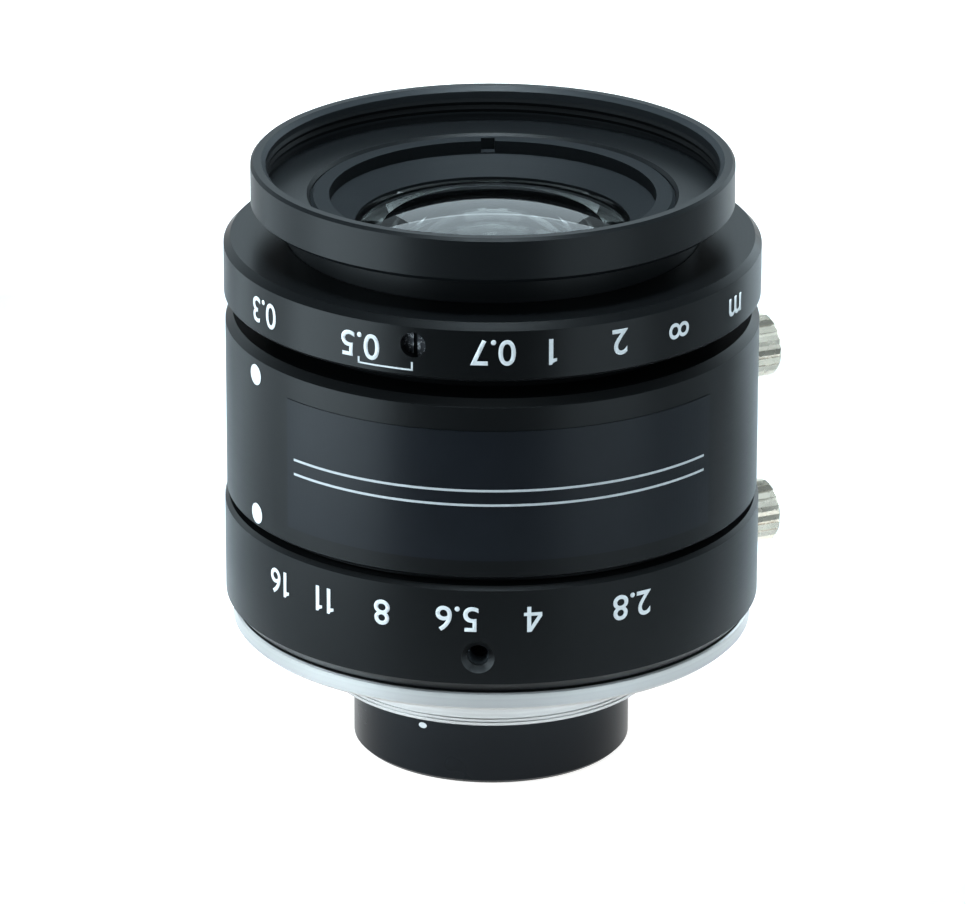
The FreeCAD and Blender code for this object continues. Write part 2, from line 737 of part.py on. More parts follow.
def cam_path(opening):
    """Place of a cam pin, seen from the cam ring, when the ring has turned by a share of its swing."""
    turn = math.radians(cam_pin_angle)
    arm = Vector(pivot_circle * (math.cos(turn) - 1.0), pivot_circle * math.sin(turn), 0)
    swing = math.radians(blade_swing * (1.0 - opening))
    x = pivot_circle + arm.x * math.cos(swing) - arm.y * math.sin(swing)
    y = arm.x * math.sin(swing) + arm.y * math.cos(swing)
    turned_by = math.radians(blade_offset + iris_swing * opening)
    return Vector(x * math.cos(turned_by) - y * math.sin(turned_by),
                  x * math.sin(turned_by) + y * math.cos(turned_by), 0)


def cam_direction(opening):
    """Direction of a cam pin's path, seen from the cam ring."""
    return (cam_path(opening + cam_step) - cam_path(opening - cam_step)).normalize()


def cam_slot():
    """Curved slot that turns the swing of the cam ring into the swing of a blade."""
    half = blade_pin_radius + running_gap
    outer_side = []
    inner_side = []
    for index in range(slot_points):
        opening = index / (slot_points - 1)
        across = AXIS.cross(cam_direction(opening)) * half
        outer_side.append(cam_path(opening) - across)
        inner_side.append(cam_path(opening) + across)
    first_tip = cam_path(0.0) - cam_direction(0.0) * half
    last_tip = cam_path(1.0) + cam_direction(1.0) * half
    outer_curve = Part.BSplineCurve()
    outer_curve.interpolate(outer_side)
    inner_curve = Part.BSplineCurve()
    inner_curve.interpolate(inner_side)
    outline = Part.Wire([outer_curve.toShape(), Part.Arc(outer_side[-1], last_tip, inner_side[-1]).toShape(),
                         inner_curve.toShape(), Part.Arc(inner_side[0], first_tip, outer_side[0]).toShape()])
    slot = Part.Face(outline).extrude(Vector(0, 0, 4.0 * cam_plate_thickness))
    slot.translate(Vector(0, 0, cam_top - 2.0 * cam_plate_thickness))
    return slot


def iris_cam_ring():
    """Ring behind the blades: a slotted plate on a skirt that turns in the front barrel."""
    outer = iris_bore - running_gap
    plate_bottom = cam_top - cam_plate_thickness
    body = turned([(cam_plate_aperture, plate_bottom), (outer - cam_skirt_wall, plate_bottom),
                   (outer - cam_skirt_wall, cam_bottom), (outer, cam_bottom), (outer, cam_top),
                   (cam_plate_aperture, cam_top)])
    for slot in spaced(cam_slot(), blade_count):
        body = body.cut(slot)
    return body.cut(radial_pin(drive_pin_radius + seat_gap, outer - cam_skirt_wall - overrun, outer + overrun,
                               drive_angle, drive_z))


def iris_drive_pin():
    """Pin in the skirt of the cam ring that reaches out to a groove inside the iris ring."""
    return radial_pin(drive_pin_radius, iris_bore - cam_skirt_wall,
                      journal_radius + drive_pocket_depth - slide_gap, drive_angle, drive_z)


os.makedirs("parts", exist_ok=True)
save("rear_cap", rear_cap())
save("mount_base", mount_base())
save("base_screws", base_screws())
save("main_barrel", main_barrel())
save("guide_pin", guide_pin())
save("iris_ring", iris_ring())
save("iris_lock_screw", iris_lock_screw())
save("focus_lock_screw", focus_lock_screw())
save("focus_ring", focus_ring())
save("set_screws", set_screws())
save("focus_helicoid", focus_helicoid())
save("helicoid_retainer", helicoid_retainer())
save("front_barrel", front_barrel())
save("front_retaining_ring", front_retaining_ring())
save("front_element", glass(glass_1, glass_1_top))
save("second_element", glass(glass_2, glass_2_top))
save("front_spacer", tube(inner_edge, inner_edge - spacer_wall, front_spacer_top - front_spacer_height,
                          front_spacer_top))
save("third_element", glass(glass_3, glass_3_top))
save("iris_cage", iris_cage())
for number, shape in enumerate(iris_blades(), 1):
    save("iris_blade_" + str(number), shape)
save("iris_cam_ring", iris_cam_ring())
save("iris_drive_pin", iris_drive_pin())
save("rear_barrel", rear_barrel())
save("doublet_crown", glass(glass_4, glass_4_top))
save("doublet_flint", glass(glass_5, glass_5_top))
save("middle_spacer", tube(rear_edge, rear_edge - spacer_wall, rear_spacer_top - rear_spacer_height,
                           rear_spacer_top))
save("sixth_element", glass(glass_6, glass_6_top))
save("rear_spacer", tube(rear_edge, rear_edge - spacer_wall, lower_spacer_top - rear_spacer_height,
                         lower_spacer_top))
save("rear_element", glass(glass_7, glass_7_top))
save("rear_retaining_ring", rear_retaining_ring())
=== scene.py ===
import bpy
import math
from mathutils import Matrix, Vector


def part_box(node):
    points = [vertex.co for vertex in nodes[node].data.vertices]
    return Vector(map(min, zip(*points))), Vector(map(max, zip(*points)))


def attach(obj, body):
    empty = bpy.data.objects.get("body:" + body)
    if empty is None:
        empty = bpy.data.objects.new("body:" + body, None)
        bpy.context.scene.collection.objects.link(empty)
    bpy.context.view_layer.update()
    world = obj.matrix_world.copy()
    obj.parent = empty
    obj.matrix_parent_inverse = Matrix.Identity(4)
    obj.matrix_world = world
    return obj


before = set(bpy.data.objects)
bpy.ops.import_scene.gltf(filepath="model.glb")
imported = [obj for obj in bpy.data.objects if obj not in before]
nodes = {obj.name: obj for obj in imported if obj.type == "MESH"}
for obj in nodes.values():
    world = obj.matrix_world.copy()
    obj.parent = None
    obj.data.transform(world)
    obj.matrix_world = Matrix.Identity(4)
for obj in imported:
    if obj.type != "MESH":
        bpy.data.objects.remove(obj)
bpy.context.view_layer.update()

# Rear dust cap
# A plain cup moulded in black polyethylene. It is pushed over the mount thread and grips its crests,
# and it shows one small white spot near its mouth.


class Amount:
    """A value that varies over a surface. Python's operators on it add Math nodes."""

    def __init__(self, finish, socket):
        self.finish = finish
        self.socket = socket

    def maths(self, operation, *others):
        return self.finish.maths(operation, self, *others)

    def __add__(self, other):
        return self.maths("ADD", other)

    def __sub__(self, other):
        return self.maths("SUBTRACT", other)

    def __rsub__(self, other):
        return self.finish.maths("SUBTRACT", other, self)

    def __mul__(self, other):
        return self.maths("MULTIPLY", other)

    def __truediv__(self, other):
        return self.maths("DIVIDE", other)

    def __gt__(self, other):
        return self.maths("GREATER_THAN", other)

    def __lt__(self, other):
        return self.maths("LESS_THAN", other)

    __radd__ = __add__
    __rmul__ = __mul__


class Finish:
    """A surface finish: a node material whose fixed numbers sit on the shader's own sockets."""

    def __init__(self, name, **fixed):
        self.material = bpy.data.materials.new(name)
        self.material.use_nodes = True
        self.tree = self.material.node_tree
        self.tree.nodes.clear()
        self.shader = self.node("ShaderNodeBsdfPrincipled", {}, fixed)
        self.end = self.node("ShaderNodeOutputMaterial", {}, {"Surface": self.shader.outputs["BSDF"]})
        self.place = self.node("ShaderNodeTexCoord").outputs["Object"]
        parts = self.node("ShaderNodeSeparateXYZ", {}, {"Vector": self.place})
        self.x, self.y, self.z = (Amount(self, socket) for socket in parts.outputs)
        self.radius = (self.x * self.x + self.y * self.y).maths("SQRT")

    def node(self, kind, settings=None, inputs=None):
        made = self.tree.nodes.new(kind)
        for key, value in (settings or {}).items():
            setattr(made, key, value)
        for key, value in (inputs or {}).items():
            self.put(made.inputs[key], value)
        return made

    def put(self, socket, value):
        if isinstance(value, Amount):
            value = value.socket
        if isinstance(value, bpy.types.NodeSocket):
            self.tree.links.new(value, socket)
        else:
            socket.default_value = value

    def maths(self, operation, *values):
        made = self.node("ShaderNodeMath", {"operation": operation}, dict(enumerate(values)))
        return Amount(self, made.outputs[0])

    def noise(self, scale, detail=2.0, roughness=0.5, vector=None):
        inputs = {"Vector": vector or self.place, "Scale": scale, "Detail": detail, "Roughness": roughness}
        return Amount(self, self.node("ShaderNodeTexNoise", {}, inputs).outputs[0])

    def turning(self, scale):
        """Marks of a lathe tool: noise that is the same all round the axis."""
        line = self.node("ShaderNodeCombineXYZ", {}, {"X": self.radius, "Z": self.z})
        return self.noise(scale, 3.0, 0.6, line.outputs[0])

    def blend(self, share, first, second):
        made = self.node("ShaderNodeMix", {"data_type": "RGBA"}, {"Factor": share, "A": first, "B": second})
        return made.outputs["Result"]

    def bump(self, height, distance):
        made = self.node("ShaderNodeBump", {}, {"Height": height, "Distance": distance})
        self.put(self.shader.inputs["Normal"], made.outputs[0])

    def paint(self, **surface):
        for key, value in surface.items():
            self.put(self.shader.inputs[key.replace("_", " ")], value)

    def touch_up(self, share, colour):
        """Paints a colour over the base colour, in full where the share is 1."""
        base = self.shader.inputs["Base Color"].links[0].from_socket
        self.paint(Base_Color=self.blend(share, base, colour))


def give(finish, *names):
    """Puts a finish on nodes of the model."""
    for name in names:
        slots = nodes[name].data.materials
        slots.clear()
        slots.append(finish.material)


cap_plastic = Finish("moulded_black_plastic", IOR=1.5, **{"Specular IOR Level": 0.11})
flow = cap_plastic.noise(90.0, 2.0)
grain = cap_plastic.noise(5200.0, 2.0)
cap_dark, cap_pale = (0.0030, 0.0042, 0.0056, 1), (0.0052, 0.0070, 0.0090, 1)
cap_plastic.paint(Base_Color=cap_plastic.blend(flow, cap_dark, cap_pale), Roughness=0.24 + flow * 0.1)
cap_plastic.bump(grain + flow * 2.0, 0.000003)
give(cap_plastic, "rear_cap")

# White prints: the index dots, both scales and the bracket. The small white spot on the cap is drawn in the
# same ink.
# Thick matt white ink, silk-screened on the finished surface. The layer is 0.02 mm thick, and it lies
# as far off the surface, so that no facet of the ring under it shows through.
ink = Finish("white_screen_ink", **{"Specular IOR Level": 0.3})
ink_cloud = ink.noise(2600.0, 3.0)
ink.paint(Base_Color=ink.blend(ink_cloud, (0.46, 0.47, 0.48, 1), (0.56, 0.57, 0.58, 1)),
          Roughness=0.55 + ink_cloud * 0.15)
ink.bump(ink_cloud, 0.000008)

ink_lift = 0.000022
ink_thickness = 0.00002
slice_width = 0.0004


def all_picked():
    bpy.ops.object.mode_set(mode="EDIT")
    bpy.ops.mesh.select_all(action="SELECT")


def finished(piece, body, finish):
    """Names the finish and the body of a new piece."""
    piece.data.materials.clear()
    piece.data.materials.append(finish.material)
    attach(piece, body)


def wrapped(piece, radius, angle, height):
    """Lays a flat print, drawn in the XY plane, on a cylinder round the axis. It is cut in slices to bend."""
    piece.rotation_euler = (math.radians(90.0), 0, 0)
    piece.location = (0, -radius, 0)
    bpy.ops.object.transform_apply(location=True, rotation=True, scale=True)
    all_picked()
    half = max(abs(vertex.co.x) for vertex in piece.data.vertices)
    for step in range(-int(half / slice_width), int(half / slice_width) + 1):
        bpy.ops.mesh.select_all(action="SELECT")
        bpy.ops.mesh.bisect(plane_co=(step * slice_width, 0, 0), plane_no=(1, 0, 0))
    bpy.ops.object.mode_set(mode="OBJECT")
    for vertex in piece.data.vertices:
        turn = vertex.co.x / radius
        vertex.co.x = (radius + ink_lift) * math.sin(turn)
        vertex.co.y = -(radius + ink_lift) * math.cos(turn)
    modifier = piece.modifiers.new("ink", "SOLIDIFY")
    modifier.thickness = ink_thickness
    modifier.offset = 1.0
    bpy.ops.object.modifier_apply(modifier=modifier.name)
    piece.rotation_euler = (0, 0, math.radians(angle))
    piece.location = (0, 0, height)
    bpy.ops.object.transform_apply(location=True, rotation=True, scale=True)
    return piece


def turned_over(piece, tall):
    """Brings a flat figure to its height and turns it over, as it is read with the lens on a camera."""
    ups = [vertex.co.y for vertex in piece.data.vertices]
    sides = [vertex.co.x for vertex in piece.data.vertices]
    scale = tall / (max(ups) - min(ups))
    for vertex in piece.data.vertices:
        vertex.co.x = -(vertex.co.x - 0.5 * (max(sides) + min(sides))) * scale
        vertex.co.y = -(vertex.co.y - 0.5 * (max(ups) + min(ups))) * scale


def printed_text(name, words, tall, radius, angle, height, weight=0.0, lying=False):
    """White figures on a ring."""
    bpy.ops.object.select_all(action="DESELECT")
    bpy.ops.object.text_add()
    piece = bpy.context.object
    piece.name = name
    words_data = piece.data
    words_data.body = words
    words_data.align_x, words_data.align_y = "CENTER", "CENTER"
    words_data.offset = weight
    words_data.resolution_u = 6
    piece.rotation_euler = (0, 0, math.radians(90.0 if lying else 0.0))
    bpy.ops.object.convert(target="MESH")
    piece = bpy.context.object
    bpy.ops.object.transform_apply(location=True, rotation=True, scale=True)
    turned_over(piece, tall)
    return wrapped(piece, radius, angle, height)


# The corners of a 1 and a 4 that are one unit tall. The outline of the 4 comes back along itself.
figure_one = ((0.17, -0.5), (0.17, 0.5), (0.06, 0.5), (0.01, 0.42), (-0.13, 0.36), (-0.13, 0.25),
              (0.01, 0.27), (0.01, -0.5))
figure_four = ((0.07, -0.5), (0.22, -0.5), (0.22, -0.27), (0.34, -0.27), (0.34, -0.14), (0.22, -0.14),
               (0.22, 0.5), (0.06, 0.5), (-0.34, -0.12), (-0.34, -0.27), (0.07, -0.27), (0.07, -0.14),
               (-0.19, -0.14), (0.07, 0.27), (0.07, -0.14), (0.07, -0.27))


def printed_outline(name, corners, tall, radius, angle, height):
    """A figure drawn from its corners. Where its outline comes back along itself, a hole stays open."""
    bpy.ops.object.select_all(action="DESELECT")
    bpy.ops.mesh.primitive_circle_add(vertices=len(corners), radius=0.5, fill_type="NGON")
    piece = bpy.context.object
    piece.name = name
    for vertex, (side, up) in zip(piece.data.vertices, corners):
        vertex.co = (side, up, 0)
    all_picked()
    bpy.ops.mesh.quads_convert_to_tris()
    bpy.ops.mesh.remove_doubles(threshold=0.001)
    bpy.ops.object.mode_set(mode="OBJECT")
    turned_over(piece, tall)
    return wrapped(piece, radius, angle, height)


def printed_dot(name, across, up, radius, angle, height):
    """A round or oval white mark."""
    bpy.ops.object.select_all(action="DESELECT")
    bpy.ops.mesh.primitive_circle_add(vertices=40, radius=0.5, fill_type="NGON")
    piece = bpy.context.object
    piece.name = name
    piece.scale = (across, up, 1)
    bpy.ops.object.transform_apply(location=True, rotation=True, scale=True)
    return wrapped(piece, radius, angle, height)


# A small white oval spot near the cap's mouth, drawn in the white ink.
cap_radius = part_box("rear_cap")[1].x
spot_width, spot_tall = 0.00092, 0.0006
spot_angle, spot_height = -29.3, 0.00565
cap_white_spot = printed_dot("cap_white_spot", spot_width, spot_tall, cap_radius, spot_angle, spot_height)
finished(cap_white_spot, "cap", ink)

# Mount base
# One piece of bright aluminium, finely turned and clear anodised: the thread, its seat and the disc.
# The thread has 32 turns to the inch, cut with a single point, and its grooves are drawn by the bump.
aluminium = Finish("turned_bright_aluminium", Metallic=1.0)
turned_lines = aluminium.turning(14000.0)
broad_lines = aluminium.turning(2500.0)
aluminium.paint(Base_Color=aluminium.blend(broad_lines, (0.27, 0.265, 0.26, 1), (0.47, 0.46, 0.45, 1)),
                Roughness=0.26 + turned_lines * 0.16)
angle = aluminium.maths("ARCTAN2", aluminium.y, aluminium.x)
thread_pitch = 0.0254 / 32
thread_radius, thread_depth = 0.0127, 0.0003
thread_top = 0.0068
groove = (aluminium.z / thread_pitch + angle / (2.0 * math.pi)).maths("PINGPONG", 0.5)
on_thread = (aluminium.z < thread_top) * (aluminium.radius > thread_radius - thread_depth)
aluminium.bump(turned_lines * 0.01 + groove * on_thread, 0.0008)
give(aluminium, "mount_base")

# Base screws and the two pins inside
# Blackened steel. Three countersunk screws hold the mount base to the main barrel, one pin keeps the
# optics from turning, and the other couples the iris ring to the diaphragm.
dark_steel = Finish("blackened_steel", Metallic=1.0)
steel_grain = dark_steel.noise(4000.0, 3.0)
dark_steel.paint(Base_Color=dark_steel.blend(steel_grain, (0.05, 0.05, 0.055, 1), (0.10, 0.10, 0.11, 1)),
                 Roughness=0.3 + steel_grain * 0.15)
dark_steel.bump(steel_grain, 0.000004)
give(dark_steel, "base_screws", "guide_pin", "iris_drive_pin")

# Set screws
# Three small slotted screws of blackened steel that hold the focus ring to the sleeve inside it. The
# driver has worn the black off their ends in spots, and the slots are dark.
worn_steel = Finish("worn_black_steel", Metallic=1.0)
worn_spots = worn_steel.noise(2600.0, 3.0, 0.7)
screw_end = 0.0258
bare_spots = (worn_spots - 0.52) * 7.0 * (worn_steel.radius > screw_end)
worn_steel.paint(Base_Color=worn_steel.blend(bare_spots, (0.03, 0.03, 0.033, 1), (0.30, 0.30, 0.31, 1)),
                 Roughness=0.3 + worn_spots * 0.2)
worn_steel.bump(worn_spots, 0.00002)
give(worn_steel, "set_screws")

# Main barrel
# Turned aluminium, hard anodised satin black. It is screwed to the mount base, and its two white dots
# mark where the scales are read.


def anodised(name, roughness, turning_depth, tone=1.0, gloss=0.12):
    """Black anodised aluminium: fine lathe marks under a very fine etched grain."""
    finish = Finish(name, IOR=1.5, **{"Specular IOR Level": gloss})
    lines = finish.turning(9000.0)
    etch = finish.noise(7000.0, 2.0, 0.6)
    cloud = finish.noise(160.0, 3.0)
    dark = (0.0011 * tone, 0.0013 * tone, 0.0015 * tone, 1)
    pale = (0.0024 * tone, 0.0027 * tone, 0.0030 * tone, 1)
    finish.paint(Base_Color=finish.blend(etch * 0.6 + cloud * 0.4, dark, pale),
                 Roughness=roughness - 0.05 + lines * 0.06 + etch * 0.06)
    finish.bump(lines * turning_depth + etch * 0.4, 0.000006)
    return finish


satin_black = anodised("satin_black_barrel", 0.34, 1.0)
give(satin_black, "main_barrel")

barrel_radius = 0.02673
dot_size, dot_angle = 0.0021, -60.6
for name, height in (("focus_index_dot", 0.04356), ("iris_index_dot", 0.02887)):
    dot = printed_dot(name, dot_size, dot_size, barrel_radius, dot_angle, height)
    finished(dot, "barrel", ink)

# Label film
# A thin plastic film, dark blue and faintly mottled, stuck on the front of the main barrel. Two plain
# grey lines are printed along it.


def curved_strip(name, radius, first, last, bottom, top, thickness):
    """A strip of a cylinder between two angles and two heights, with a real thickness."""
    bpy.ops.object.select_all(action="DESELECT")
    bpy.ops.mesh.primitive_cylinder_add(vertices=360, radius=radius, depth=top - bottom,
                                        end_fill_type="NOTHING", location=(0, 0, 0.5 * (top + bottom)))
    piece = bpy.context.object
    piece.name = name
    bpy.ops.object.transform_apply(location=True, rotation=True, scale=True)
    all_picked()
    for edge, side in ((first, 1.0), (last, -1.0)):
        bpy.ops.mesh.select_all(action="SELECT")
        turn = math.radians(edge)
        normal = (math.cos(turn) * side, math.sin(turn) * side, 0)
        bpy.ops.mesh.bisect(plane_co=(0, 0, 0), plane_no=normal, clear_inner=True)
    bpy.ops.object.mode_set(mode="OBJECT")
    modifier = piece.modifiers.new("thickness", "SOLIDIFY")
    modifier.thickness = thickness
    modifier.offset = 1.0
    bpy.ops.object.modifier_apply(modifier=modifier.name)
    return piece


film = Finish("dark_blue_film", IOR=1.5, **{"Specular IOR Level": 0.12})
film_cloud = film.noise(240.0, 4.0)
film_fleck = film.noise(3800.0, 2.0)
film.paint(Base_Color=film.blend(film_cloud, (0.0028, 0.0036, 0.0052, 1), (0.0044, 0.0056, 0.0080, 1)),
           Roughness=0.3 + film_fleck * 0.12)
film.bump(film_fleck + film_cloud, 0.000005)
film_first, film_last = -48.7, 53.0
film_bottom, film_top = 0.0293, 0.0428
film_lift, film_thickness = 0.00002, 0.00005
label_film = curved_strip("label_film", barrel_radius + film_lift, film_first, film_last,
                          film_bottom, film_top, film_thickness)
finished(label_film, "barrel", film)

dull_ink = Finish("dull_printed_line", **{"Specular IOR Level": 0.3})
dull_cloud = dull_ink.noise(2600.0, 3.0)
dull_ink.paint(Base_Color=dull_ink.blend(dull_cloud, (0.30, 0.31, 0.32, 1), (0.40, 0.41, 0.42, 1)),
               Roughness=0.5 + dull_cloud * 0.15)
rule_first, rule_last = -46.5, 50.8
rule_half, rule_lift = 0.00012, 0.00008
for number, height in enumerate((0.03515, 0.03665)):
    rule = curved_strip("label_rule_" + str(number + 1), barrel_radius + rule_lift, rule_first, rule_last,
                        height - rule_half, height + rule_half, ink_thickness)
    finished(rule, "barrel", dull_ink)

# Iris ring
# Turned and anodised like the barrel. The figures of the aperture scale are printed on it, and one
# tapped hole for a second lock screw is left open. The lower part of its mouth is painted paler, as painted
# light where the cone faces up to the lamps.
iris_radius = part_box("iris_ring")[1].x
screw_low, screw_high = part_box("iris_lock_screw")
hole_z = 0.5 * (screw_low.z + screw_high.z)
hole_angle = math.radians(-2.8)
hole_mouth = 0.00166
painted_light_top, painted_light_gain = 0.0004, 520.0
iris_black = anodised("satin_black_iris_ring", 0.33, 1.2)
across = iris_black.x - iris_radius * math.sin(hole_angle)
up = iris_black.z - hole_z
# Painted light: the mouth of the open hole gets paler towards its bottom, where its cone faces up to the
# lamps.
in_mouth = (across * across + up * up < hole_mouth ** 2) * (iris_black.y < 0.0)
mouth_painted_light = in_mouth * ((painted_light_top - up) * painted_light_gain)
iris_black.touch_up(mouth_painted_light, (0.030, 0.031, 0.032, 1))
give(iris_black, "iris_ring")
figure_height = 0.00265
figure_weight = 0.009
# Each figure has its angle from the front and its height. 16 and 11 are set digit by digit.
iris_scale = (("1", -48.9, 0.02299), ("6", -52.5, 0.02299), ("1", -36.1, 0.02295), ("1", -39.1, 0.02295),
              ("8", -23.5, 0.02306), ("5.6", -7.2, 0.02318), ("4", 8.7, 0.02316), ("2.8", 30.9, 0.02324))
outlines = {"1": figure_one, "4": figure_four}
for number, (words, angle_round, height) in enumerate(iris_scale):
    name = "aperture_figure_" + str(number + 1)
    if words in outlines:
        figure = printed_outline(name, outlines[words], figure_height, iris_radius, angle_round, height)
    else:
        figure = printed_text(name, words, figure_height, iris_radius, angle_round, height, figure_weight)
    finished(figure, "iris", ink)

# Focus ring
# Turned and anodised, a little glossier. It carries the distance scale in metres and a bracket
# that marks a range on it, and three set screws hold it to the sleeve inside.
give(anodised("satin_black_focus_ring", 0.30, 1.0), "focus_ring")
focus_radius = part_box("focus_ring")[1].x
small_figure, unit_figure = 0.00165, 0.0019
# Each figure has its angle from the front and its height, as on the iris ring.
focus_scale = (("0.3", -56.4, 0.05065), ("0.5", -28.5, 0.05058), ("0.7", 0.15, 0.0510), ("2", 27.4, 0.05106))
for number, (words, angle_round, height) in enumerate(focus_scale):
    figure = printed_text("distance_figure_" + str(number + 1), words, figure_height, focus_radius,
                          angle_round, height, figure_weight)
    finished(figure, "focus", ink)
distance_one = printed_outline("distance_one", figure_one, figure_height, focus_radius, 12.6, 0.0509)
finished(distance_one, "focus", ink)
infinity = printed_text("distance_infinity", "8", small_figure, focus_radius, 42.6, 0.05083, lying=True)
finished(infinity, "focus", ink)
metres = printed_text("distance_metres", "m", unit_figure, focus_radius, 62.6, 0.05074, figure_weight)
finished(metres, "focus", ink)
bracket_first, bracket_last, tick_width = -29.0, -16.6, 0.4
bracket_bottom = 0.04872
bracket = (("bracket_line", bracket_first, bracket_last, 0.04888),
           ("bracket_tick_1", bracket_first, bracket_first + tick_width, 0.0494),
           ("bracket_tick_2", bracket_last - tick_width, bracket_last, 0.0496))
for name, first, last, top in bracket:
    line = curved_strip(name, focus_radius + ink_lift, first, last, bracket_bottom, top, ink_thickness)
    finished(line, "focus", ink)

# Lock screws
# Turned brass with a coarse straight knurl, plated with bright nickel. One is screwed into the main
# barrel and one into the iris ring, and each tip presses on the piece inside.
nickel = Finish("bright_nickel_plate", Metallic=1.0)
nickel_cloud = nickel.noise(700.0, 3.0)
nickel.paint(Base_Color=nickel.blend(nickel_cloud, (0.46, 0.415, 0.345, 1), (0.60, 0.545, 0.46, 1)),
             Roughness=0.2 + nickel_cloud * 0.14)
nickel.bump(nickel_cloud, 0.0000006)
give(nickel, "focus_lock_screw", "iris_lock_screw")

# Front barrel
# The rim, the neck and the tube inside are one turned piece of aluminium, anodised satin black. The
# wall that the filter thread is cut in is painted greyer, as painted light that lifts the shade in that
# recess.
rim_black = anodised("satin_black_rim", 0.36, 1.1, tone=2.0)
filter_radius = 0.0226
mouth_radius = 0.02304
# Painted light: the bore wall of the filter thread is painted greyer, to lift the shade in that recess.
bore_wall_painted_light = (rim_black.radius > filter_radius - 0.0001) * (rim_black.radius < mouth_radius)
rim_black.touch_up(bore_wall_painted_light, (0.016, 0.018, 0.020, 1))
give(rim_black, "front_barrel")

# Front retaining ring, the focus sleeve, the rear barrel and the rings inside
# Turned aluminium, dyed matt black, so that the coned throat and the tubes throw no stray light on
# the glass. The rings are screwed or dropped into the tubes.
give(anodised("matt_black_throat", 0.6, 1.0, tone=4.4, gloss=0.05), "front_retaining_ring")
give(anodised("matt_black_inside", 0.7, 1.0, gloss=0.03), "front_spacer", "middle_spacer", "rear_spacer",
     "rear_barrel", "rear_retaining_ring", "helicoid_retainer", "focus_helicoid")

# Threads cut in the rim for a filter and in the iris ring for a lock screw
# Each is one ridge wound round an axis, on the wall of the piece that it is cut in. The rim's has a
# pitch of 0.75 mm and the small one 0.45 mm.


def ridges(name, radius, crest, bottom, turns, pitch):
    """A screw thread: one ridge wound round the axis, from a wall towards its crest."""
    bpy.ops.object.select_all(action="DESELECT")
    bpy.ops.mesh.primitive_circle_add(vertices=3, radius=0.5, fill_type="NOTHING")
    piece = bpy.context.object
    piece.name = name
    corners = ((radius, 0.0), (crest, 0.5 * pitch), (radius, pitch))
    for vertex, (out, up) in zip(piece.data.vertices, corners):
        vertex.co = (out, 0, bottom + up)
    modifier = piece.modifiers.new("winding", "SCREW")
    modifier.axis = "Z"
    modifier.screw_offset = pitch
    modifier.iterations = turns
    modifier.steps = modifier.render_steps = 128
    bpy.ops.object.modifier_apply(modifier=modifier.name)
    bpy.ops.object.mode_set(mode="EDIT")
    bpy.ops.mesh.select_all(action="DESELECT")
    bpy.ops.mesh.select_non_manifold()
    bpy.ops.mesh.fill()
    bpy.ops.mesh.select_all(action="SELECT")
    bpy.ops.mesh.normals_make_consistent(inside=False)
    bpy.ops.object.mode_set(mode="OBJECT")
    bpy.ops.object.shade_smooth_by_angle(angle=math.radians(30.0))
    return piece


filter_pitch = 0.00075
filter_crest = filter_radius - 0.00015
filter_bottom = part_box("front_barrel")[1].z - 0.00285
filter_thread = ridges("filter_thread", filter_radius, filter_crest, filter_bottom, 2, filter_pitch)
thread_black = anodised("satin_black_thread", 0.4, 1.0, tone=2.0)
finished(filter_thread, "optics", thread_black)

tap_radius, tap_crest = 0.00108, 0.0009
tap_pitch, tap_bottom = 0.00045, iris_radius - 0.0031
hole_thread = ridges("tapped_hole_thread", tap_radius, tap_crest, tap_bottom, 4, tap_pitch)
bpy.ops.object.select_all(action="DESELECT")
hole_thread.select_set(True)
hole_thread.rotation_euler = (math.radians(90.0), 0, hole_angle)
hole_thread.location = (0, 0, hole_z)
bpy.ops.object.transform_apply(location=True, rotation=True, scale=True)
# The thread in the open hole gets a paler and glossier black than the ring.
pale_thread_black = anodised("paler_black_thread", 0.25, 1.0, tone=10.0, gloss=0.5)
finished(hole_thread, "iris", pale_thread_black)

# Lenses
# Optical glass, ground, polished and coated against reflections. Three elements sit in the front
# barrel, and a cemented pair and two more in the rear barrel.
bending = 1.6


def coated(name, shine):
    """Coated glass. It shines by a share where light comes in, and reflects nothing from inside."""
    glass = Finish(name, IOR=bending, Roughness=0.0,
                   **{"Transmission Weight": 1.0, "Specular Tint": (shine, shine, shine, 1)})
    facing = Amount(glass, glass.node("ShaderNodeLayerWeight", {}, {"Blend": 0.35}).outputs["Facing"])
    tint = glass.blend(facing, (0.97, 0.99, 0.98, 1), (0.90, 0.97, 0.95, 1))
    glass.paint(Base_Color=tint)
    inner_face = glass.node("ShaderNodeBsdfPrincipled", {}, {
        "Base Color": tint, "IOR": bending, "Roughness": 0.0, "Transmission Weight": 1.0,
        "Specular Tint": (0, 0, 0, 1)})
    inside = glass.node("ShaderNodeNewGeometry").outputs["Backfacing"]
    # The inputs of a Mix Shader go by number: 0 is the share, 1 and 2 are the two shaders.
    either = glass.node("ShaderNodeMixShader", {}, {
        0: inside, 1: glass.shader.outputs["BSDF"], 2: inner_face.outputs["BSDF"]})
    glass.put(glass.end.inputs["Surface"], either.outputs[0])
    return glass


give(coated("coated_front_glass", 1.0), "front_element")
give(coated("coated_inner_glass", 0.05), "second_element", "third_element", "doublet_crown", "doublet_flint",
     "sixth_element", "rear_element")

# Diaphragm
# Six spring-steel blades, baked matt black, each with a pin that turns in the cage plate and one that a
# slot of the cam ring moves. Plate and ring are turned aluminium, dyed black.
blade_black = Finish("baked_black_blade", Metallic=0.6)
blade_cloud = blade_black.noise(900.0, 3.0)
blade_black.paint(Base_Color=blade_black.blend(blade_cloud, (0.02, 0.02, 0.022, 1), (0.04, 0.04, 0.043, 1)),
                  Roughness=0.42 + blade_cloud * 0.12)
blade_black.bump(blade_cloud, 0.000004)
give(blade_black, *("iris_blade_" + str(number) for number in range(1, 7)))
give(anodised("matt_black_diaphragm", 0.5, 1.0), "iris_cage", "iris_cam_ring")
